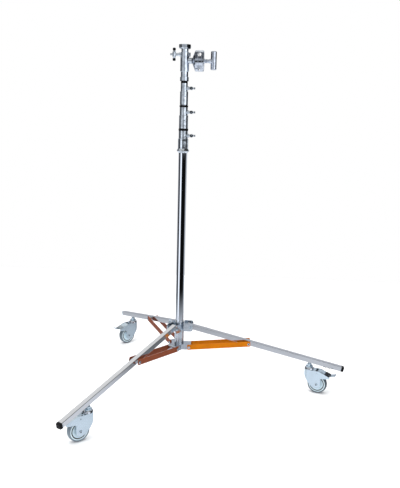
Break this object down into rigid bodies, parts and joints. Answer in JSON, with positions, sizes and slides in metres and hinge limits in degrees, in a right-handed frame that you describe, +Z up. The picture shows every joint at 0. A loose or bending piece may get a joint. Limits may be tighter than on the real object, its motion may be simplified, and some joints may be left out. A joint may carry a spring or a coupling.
{
  "type": "roller stand",
  "caption": "Folding roller stand with braced tripod legs on swivel casters, a telescoping mast with collar clamps, and a pin receiver with a disc grip head.",
  "frame": {"origin": "middle of the footprint's bounding box, on the floor the wheels stand on", "axes": "+Z up along the mast, +X along the right leg, away from the mast; the mast axis is parallel to Z at x = -0.204 m, y = 0.000 m"},
  "size_m": [1.3096, 1.4984, 1.717],
  "materials": {
    "chrome_tube": "polished",
    "cast_chrome": "satin cast",
    "cast_alloy": "satin cast",
    "leg_steel": "satin plated",
    "zinc_steel": "bright zinc plated",
    "orange_paint": "gloss",
    "brown_paint": "gloss",
    "black_plastic": "matte",
    "grey_plastic": "matte",
    "bearing_nylon": "matte",
    "black_tyre": "matte"
  },
  "bodies": {
    "column": {"base_column": "chrome_tube", "brace_casting": "cast_chrome", "brace_pivot_bolts": "zinc_steel", "base_collar": "cast_chrome", "base_collar_liner": "black_plastic"},
    "base_knob": {"base_knob": "cast_chrome"},
    "leg_collar": {"leg_collar": "cast_chrome", "leg_collar_bush": "bearing_nylon", "leg_pivot_bolts": "zinc_steel", "leg_pivot_spacers": "zinc_steel"},
    "leg_collar_knob": {"leg_collar_knob": "cast_chrome"},
    "riser_1": {"riser_1": "chrome_tube", "riser_1_guide": "bearing_nylon", "riser_1_collar": "cast_chrome", "riser_1_collar_liner": "black_plastic"},
    "riser_1_knob": {"riser_1_knob": "cast_chrome"},
    "riser_2": {"riser_2": "chrome_tube", "riser_2_guide": "bearing_nylon", "riser_2_collar": "cast_chrome", "riser_2_collar_liner": "black_plastic"},
    "riser_2_knob": {"riser_2_knob": "cast_chrome"},
    "head": {"riser_3": "chrome_tube", "riser_3_guide": "bearing_nylon", "head_body": "cast_chrome", "head_set_screw": "zinc_steel"},
    "receiver_knob": {"receiver_knob": "cast_chrome"},
    "grip_rear": {"grip_rear_disc": "cast_alloy"},
    "grip_front": {"grip_front_disc": "cast_alloy"},
    "grip_handle": {"grip_handle": "cast_alloy"},
    "leg_right": {"leg_right": "leg_steel", "leg_cap_right": "black_plastic", "caster_stem_right": "zinc_steel"},
    "brace_right": {"brace_right": "orange_paint", "brace_bolts_right": "zinc_steel"},
    "caster_right": {"caster_fork_right": "zinc_steel", "caster_axle_right": "zinc_steel", "pedal_pin_right": "zinc_steel"},
    "wheel_right": {"wheel_hub_right": "grey_plastic", "wheel_tyre_right": "black_tyre"},
    "pedal_right": {"brake_pedal_right": "zinc_steel"},
    "leg_rear": {"leg_rear": "leg_steel", "leg_cap_rear": "black_plastic", "caster_stem_rear": "zinc_steel"},
    "brace_rear": {"brace_rear": "brown_paint", "brace_bolts_rear": "zinc_steel"},
    "caster_rear": {"caster_fork_rear": "zinc_steel", "caster_axle_rear": "zinc_steel", "pedal_pin_rear": "zinc_steel"},
    "wheel_rear": {"wheel_hub_rear": "grey_plastic", "wheel_tyre_rear": "black_tyre"},
    "pedal_rear": {"brake_pedal_rear": "zinc_steel"},
    "leg_front": {"leg_front": "leg_steel", "leg_cap_front": "black_plastic", "caster_stem_front": "zinc_steel"},
    "brace_front": {"brace_front": "brown_paint", "brace_bolts_front": "zinc_steel"},
    "caster_front": {"caster_fork_front": "zinc_steel", "caster_axle_front": "zinc_steel"},
    "wheel_front": {"wheel_hub_front": "grey_plastic", "wheel_tyre_front": "black_tyre"}
  },
  "joints": [
    {"name": "leg_collar_slide", "type": "slide", "parent": "column", "child": "leg_collar", "axis": [0, 0, 1], "range_m": [0, 0.47316]},
    {"name": "leg_hinge_right", "type": "hinge", "parent": "leg_collar", "child": "leg_right", "pos_m": [-0.14565, 0, 0.32399], "axis": [0, 1, 0], "range_deg": [0, 56.12]},
    {"name": "brace_hinge_right", "type": "hinge", "parent": "column", "child": "brace_right", "pos_m": [-0.15015, 0, 0.21649], "axis": [0, -1, 0], "range_deg": [0, 62.85]},
    {"name": "caster_swivel_right", "type": "hinge", "parent": "leg_right", "child": "caster_right", "pos_m": [0.47658, 0, 0.1225], "axis": [0, 0, 1], "continuous": true},
    {"name": "wheel_spin_right", "type": "hinge", "parent": "caster_right", "child": "wheel_right", "pos_m": [0.52046, -0.01684, 0.0508], "axis": [0.3584, 0.9336, 0], "continuous": true},
    {"name": "brake_pedal_right", "type": "hinge", "parent": "caster_right", "child": "pedal_right", "pos_m": [0.5186, -0.01613, 0.1095], "axis": [0.3584, 0.9336, 0], "range_deg": [0, 5]},
    {"name": "leg_hinge_rear", "type": "hinge", "parent": "leg_collar", "child": "leg_rear", "pos_m": [-0.2334, 0.05066, 0.32399], "axis": [-0.866, -0.5, 0], "range_deg": [0, 56.12]},
    {"name": "brace_hinge_rear", "type": "hinge", "parent": "column", "child": "brace_rear", "pos_m": [-0.23115, 0.04677, 0.21649], "axis": [0.866, 0.5, 0], "range_deg": [0, 62.85]},
    {"name": "caster_swivel_rear", "type": "hinge", "parent": "leg_rear", "child": "caster_rear", "pos_m": [-0.54451, 0.58953, 0.1225], "axis": [0, 0, 1], "continuous": true},
    {"name": "wheel_spin_rear", "type": "hinge", "parent": "caster_rear", "child": "wheel_rear", "pos_m": [-0.57716, 0.55572, 0.0508], "axis": [0.7193, -0.6947, 0], "continuous": true},
    {"name": "brake_pedal_rear", "type": "hinge", "parent": "caster_rear", "child": "pedal_rear", "pos_m": [-0.57577, 0.55716, 0.1095], "axis": [0.7193, -0.6947, 0], "range_deg": [0, 5]},
    {"name": "leg_hinge_front", "type": "hinge", "parent": "leg_collar", "child": "leg_front", "pos_m": [-0.2334, -0.05066, 0.32399], "axis": [0.866, -0.5, 0], "range_deg": [0, 56.12]},
    {"name": "brace_hinge_front", "type": "hinge", "parent": "column", "child": "brace_front", "pos_m": [-0.23115, -0.04677, 0.21649], "axis": [-0.866, 0.5, 0], "range_deg": [0, 62.85]},
    {"name": "caster_swivel_front", "type": "hinge", "parent": "leg_front", "child": "caster_front", "pos_m": [-0.54451, -0.58953, 0.1225], "axis": [0, 0, 1], "continuous": true},
    {"name": "wheel_spin_front", "type": "hinge", "parent": "caster_front", "child": "wheel_front", "pos_m": [-0.58052, -0.61974, 0.0508], "axis": [0.6428, -0.766, 0], "continuous": true},
    {"name": "riser_1_slide", "type": "slide", "parent": "column", "child": "riser_1", "axis": [0, 0, 1], "range_m": [0, 0.855]},
    {"name": "riser_2_slide", "type": "slide", "parent": "riser_1", "child": "riser_2", "axis": [0, 0, 1], "range_m": [0, 0.946]},
    {"name": "riser_3_slide", "type": "slide", "parent": "riser_2", "child": "head", "axis": [0, 0, 1], "range_m": [0, 1.038]},
    {"name": "base_knob_turn", "type": "hinge", "parent": "column", "child": "base_knob", "pos_m": [-0.17915, 0, 1.29481], "axis": [1, 0, 0], "range_deg": [0, 720]},
    {"name": "riser_1_knob_turn", "type": "hinge", "parent": "riser_1", "child": "riser_1_knob", "pos_m": [-0.18215, 0, 1.40581], "axis": [1, 0, 0], "range_deg": [0, 720]},
    {"name": "riser_2_knob_turn", "type": "hinge", "parent": "riser_2", "child": "riser_2_knob", "pos_m": [-0.18465, 0, 1.51781], "axis": [1, 0, 0], "range_deg": [0, 720]},
    {"name": "leg_collar_knob_turn", "type": "hinge", "parent": "leg_collar", "child": "leg_collar_knob", "pos_m": [-0.19215, 0.02079, 0.28699], "axis": [0.5, 0.866, 0], "range_deg": [0, 720]},
    {"name": "receiver_knob_turn", "type": "hinge", "parent": "head", "child": "receiver_knob", "pos_m": [-0.22395, 0, 1.67199], "axis": [-1, 0, 0], "range_deg": [0, 1080]},
    {"name": "grip_turn", "type": "hinge", "parent": "head", "child": "grip_rear", "pos_m": [-0.17115, 0, 1.64399], "axis": [1, 0, 0], "continuous": true},
    {"name": "grip_jaw_slide", "type": "slide", "parent": "grip_rear", "child": "grip_front", "axis": [1, 0, 0], "range_m": [0, 0.006]},
    {"name": "grip_handle_turn", "type": "hinge", "parent": "grip_front", "child": "grip_handle", "pos_m": [-0.11315, 0, 1.64399], "axis": [1, 0, 0], "range_deg": [0, 720.5]}
  ],
  "couplings": [
    {"joint": "leg_hinge_right", "follows": "leg_collar_slide", "rad_per_m": 2.0694},
    {"joint": "brace_hinge_right", "follows": "leg_collar_slide", "rad_per_m": 2.3178},
    {"joint": "leg_hinge_rear", "follows": "leg_collar_slide", "rad_per_m": 2.0694},
    {"joint": "brace_hinge_rear", "follows": "leg_collar_slide", "rad_per_m": 2.3178},
    {"joint": "leg_hinge_front", "follows": "leg_collar_slide", "rad_per_m": 2.0694},
    {"joint": "brace_hinge_front", "follows": "leg_collar_slide", "rad_per_m": 2.3178},
    {"joint": "grip_handle_turn", "follows": "grip_jaw_slide", "rad_per_m": 2094.4}
  ]
}
